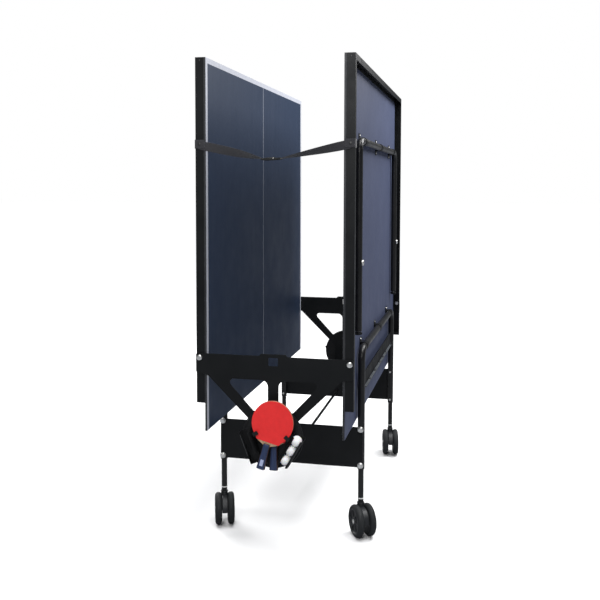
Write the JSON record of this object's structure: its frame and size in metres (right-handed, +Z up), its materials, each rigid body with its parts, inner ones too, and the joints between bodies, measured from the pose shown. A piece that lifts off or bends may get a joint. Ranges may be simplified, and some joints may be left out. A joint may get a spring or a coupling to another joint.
{
  "type": "folding table-tennis table",
  "caption": "Folding table-tennis table stored upright on a wheeled trolley, with hinged halves, swing-down end legs, castors, a strap, bats and balls.",
  "frame": {"origin": "on the floor, in the middle of the footprint", "axes": "+Z up, +X to the right half, -Y to the front, where the bats and balls hang"},
  "size_m": [0.7014, 1.656, 1.828],
  "materials": {
    "table_top": "matte blue melamine on a thin board",
    "black_steel": "black powder coat, satin",
    "black_tube": "black powder coat, slight sheen",
    "zinc_bolt": "bright zinc plate",
    "black_plastic": "moulded, fine grain",
    "white_plastic": "plain white",
    "castor_plastic": "moulded dark grey",
    "castor_tyre": "dark grey tread",
    "webbing": "woven black webbing",
    "bat_wood": "plywood under red rubber",
    "bat_grip": "blue lacquered wood with brown edges",
    "ball_white": "matte white celluloid"
  },
  "bodies": {
    "trolley": {"hoop_right": "black_tube", "side_rail_right": "black_steel", "hoop_left": "black_tube", "side_rail_left": "black_steel", "castor_legs": "black_tube", "stem_bushes": "black_plastic", "leg_rings": "white_plastic", "cross_plate_front": "black_steel", "cross_plate_rear": "black_steel", "plate_bolts": "zinc_bolt", "tie_rod": "black_tube", "truss_plate_front": "black_steel", "truss_plate_rear": "black_steel", "pivot_bolts": "zinc_bolt", "holder_hub_front": "black_plastic", "holder_hub_rear": "black_plastic", "ball_troughs": "black_plastic", "bat_clips": "black_plastic"},
    "half_right": {"playing_board_right": "table_top", "side_apron_front_right": "black_steel", "side_apron_rear_right": "black_steel", "end_apron_right": "black_steel", "saddles_right": "black_steel", "fixings_right": "zinc_bolt"},
    "half_left": {"playing_board_left": "table_top", "side_apron_front_left": "black_steel", "side_apron_rear_left": "black_steel", "end_apron_left": "black_steel", "saddles_left": "black_steel", "fixings_left": "zinc_bolt"},
    "end_legs_right": {"end_leg_frame_right": "black_tube", "leg_bolts_right": "zinc_bolt"},
    "end_legs_left": {"end_leg_frame_left": "black_tube", "leg_bolts_left": "zinc_bolt"},
    "strap_right": {"strap_right": "webbing"},
    "leveller_front_right": {"leveller_front_right": "black_plastic"},
    "leveller_rear_right": {"leveller_rear_right": "black_plastic"},
    "strap_left": {"strap_left": "webbing", "strap_buckle": "black_plastic"},
    "leveller_front_left": {"leveller_front_left": "black_plastic"},
    "leveller_rear_left": {"leveller_rear_left": "black_plastic"},
    "castor_front_left": {"castor_front_left": "castor_plastic"},
    "wheel_front_left_left": {"wheel_front_left_left": "castor_tyre"},
    "wheel_front_left_right": {"wheel_front_left_right": "castor_tyre"},
    "castor_front_right": {"castor_front_right": "castor_plastic"},
    "wheel_front_right_left": {"wheel_front_right_left": "castor_tyre"},
    "wheel_front_right_right": {"wheel_front_right_right": "castor_tyre"},
    "castor_rear_left": {"castor_rear_left": "castor_plastic"},
    "wheel_rear_left_left": {"wheel_rear_left_left": "castor_tyre"},
    "wheel_rear_left_right": {"wheel_rear_left_right": "castor_tyre"},
    "castor_rear_right": {"castor_rear_right": "castor_plastic"},
    "wheel_rear_right_left": {"wheel_rear_right_left": "castor_tyre"},
    "wheel_rear_right_right": {"wheel_rear_right_right": "castor_tyre"},
    "bat_1": {"bat_1_blade": "bat_wood", "bat_1_handle": "bat_grip"},
    "bat_2": {"bat_2_blade": "bat_wood", "bat_2_handle": "bat_grip"},
    "ball_1": {"ball_1": "ball_white"},
    "ball_2": {"ball_2": "ball_white"},
    "ball_3": {"ball_3": "ball_white"}
  },
  "joints": [
    {"name": "fold_right", "type": "hinge", "parent": "trolley", "child": "half_right", "pos_m": [0.28, 0, 0.734], "axis": [0, 1, 0], "range_deg": [0, 90]},
    {"name": "end_legs_swing_right", "type": "hinge", "parent": "half_right", "child": "end_legs_right", "pos_m": [0.28, 0, 1.535], "axis": [0, 1, 0], "range_deg": [-90, 0]},
    {"name": "strap_drop_right", "type": "hinge", "parent": "half_right", "child": "strap_right", "pos_m": [0.278, -0.766, 1.515], "axis": [0, -1, 0], "range_deg": [0, 180]},
    {"name": "leveller_screw_front_right", "type": "slide", "parent": "end_legs_right", "child": "leveller_front_right", "axis": [0, 0, -1], "range_m": [0, 0.006]},
    {"name": "leveller_screw_rear_right", "type": "slide", "parent": "end_legs_right", "child": "leveller_rear_right", "axis": [0, 0, -1], "range_m": [0, 0.006]},
    {"name": "fold_left", "type": "hinge", "parent": "trolley", "child": "half_left", "pos_m": [-0.28, 0, 0.734], "axis": [0, -1, 0], "range_deg": [0, 90]},
    {"name": "end_legs_swing_left", "type": "hinge", "parent": "half_left", "child": "end_legs_left", "pos_m": [-0.28, 0, 1.535], "axis": [0, -1, 0], "range_deg": [-90, 0]},
    {"name": "strap_drop_left", "type": "hinge", "parent": "half_left", "child": "strap_left", "pos_m": [-0.278, -0.766, 1.515], "axis": [0, 1, 0], "range_deg": [0, 180]},
    {"name": "leveller_screw_front_left", "type": "slide", "parent": "end_legs_left", "child": "leveller_front_left", "axis": [0, 0, -1], "range_m": [0, 0.006]},
    {"name": "leveller_screw_rear_left", "type": "slide", "parent": "end_legs_left", "child": "leveller_rear_left", "axis": [0, 0, -1], "range_m": [0, 0.006]},
    {"name": "castor_swivel_front_left", "type": "hinge", "parent": "trolley", "child": "castor_front_left", "pos_m": [-0.28, -0.49, 0.14], "axis": [0, 0, 1], "continuous": true},
    {"name": "wheel_spin_front_left_left", "type": "hinge", "parent": "castor_front_left", "child": "wheel_front_left_left", "pos_m": [-0.27355, -0.5068, 0.0625], "axis": [0.9336, 0.3584, 0], "continuous": true},
    {"name": "wheel_spin_front_left_right", "type": "hinge", "parent": "castor_front_left", "child": "wheel_front_left_right", "pos_m": [-0.27355, -0.5068, 0.0625], "axis": [0.9336, 0.3584, 0], "continuous": true},
    {"name": "castor_swivel_front_right", "type": "hinge", "parent": "trolley", "child": "castor_front_right", "pos_m": [0.28, -0.49, 0.14], "axis": [0, 0, 1], "continuous": true},
    {"name": "wheel_spin_front_right_left", "type": "hinge", "parent": "castor_front_right", "child": "wheel_front_right_left", "pos_m": [0.28927, -0.50543, 0.0625], "axis": [0.8572, 0.515, 0], "continuous": true},
    {"name": "wheel_spin_front_right_right", "type": "hinge", "parent": "castor_front_right", "child": "wheel_front_right_right", "pos_m": [0.28927, -0.50543, 0.0625], "axis": [0.8572, 0.515, 0], "continuous": true},
    {"name": "castor_swivel_rear_left", "type": "hinge", "parent": "trolley", "child": "castor_rear_left", "pos_m": [-0.28, 0.49, 0.14], "axis": [0, 0, 1], "continuous": true},
    {"name": "wheel_spin_rear_left_left", "type": "hinge", "parent": "castor_rear_left", "child": "wheel_rear_left_left", "pos_m": [-0.28927, 0.50543, 0.0625], "axis": [0.8572, 0.515, 0], "continuous": true},
    {"name": "wheel_spin_rear_left_right", "type": "hinge", "parent": "castor_rear_left", "child": "wheel_rear_left_right", "pos_m": [-0.28927, 0.50543, 0.0625], "axis": [0.8572, 0.515, 0], "continuous": true},
    {"name": "castor_swivel_rear_right", "type": "hinge", "parent": "trolley", "child": "castor_rear_right", "pos_m": [0.28, 0.49, 0.14], "axis": [0, 0, 1], "continuous": true},
    {"name": "wheel_spin_rear_right_left", "type": "hinge", "parent": "castor_rear_right", "child": "wheel_rear_right_left", "pos_m": [0.28343, 0.47233, 0.0625], "axis": [0.9816, 0.1908, 0], "continuous": true},
    {"name": "wheel_spin_rear_right_right", "type": "hinge", "parent": "castor_rear_right", "child": "wheel_rear_right_right", "pos_m": [0.28343, 0.47233, 0.0625], "axis": [0.9816, 0.1908, 0], "continuous": true},
    {"name": "bat_1_lift", "type": "slide", "parent": "trolley", "child": "bat_1", "axis": [0.2588, 0, 0.9659], "range_m": [0, 0.12]},
    {"name": "bat_2_lift", "type": "slide", "parent": "trolley", "child": "bat_2", "axis": [0.0175, 0, 0.9998], "range_m": [0, 0.12]},
    {"name": "ball_1_out", "type": "slide", "parent": "trolley", "child": "ball_1", "axis": [0, -1, 0], "range_m": [0, 0.06]},
    {"name": "ball_2_out", "type": "slide", "parent": "trolley", "child": "ball_2", "axis": [0, -1, 0], "range_m": [0, 0.06]},
    {"name": "ball_3_out", "type": "slide", "parent": "trolley", "child": "ball_3", "axis": [0, -1, 0], "range_m": [0, 0.06]}
  ],
  "couplings": [
    {"joint": "end_legs_swing_right", "follows": "fold_right", "ratio": -1},
    {"joint": "strap_drop_right", "follows": "fold_right", "ratio": 2},
    {"joint": "end_legs_swing_left", "follows": "fold_left", "ratio": -1},
    {"joint": "strap_drop_left", "follows": "fold_left", "ratio": 2}
  ]
}
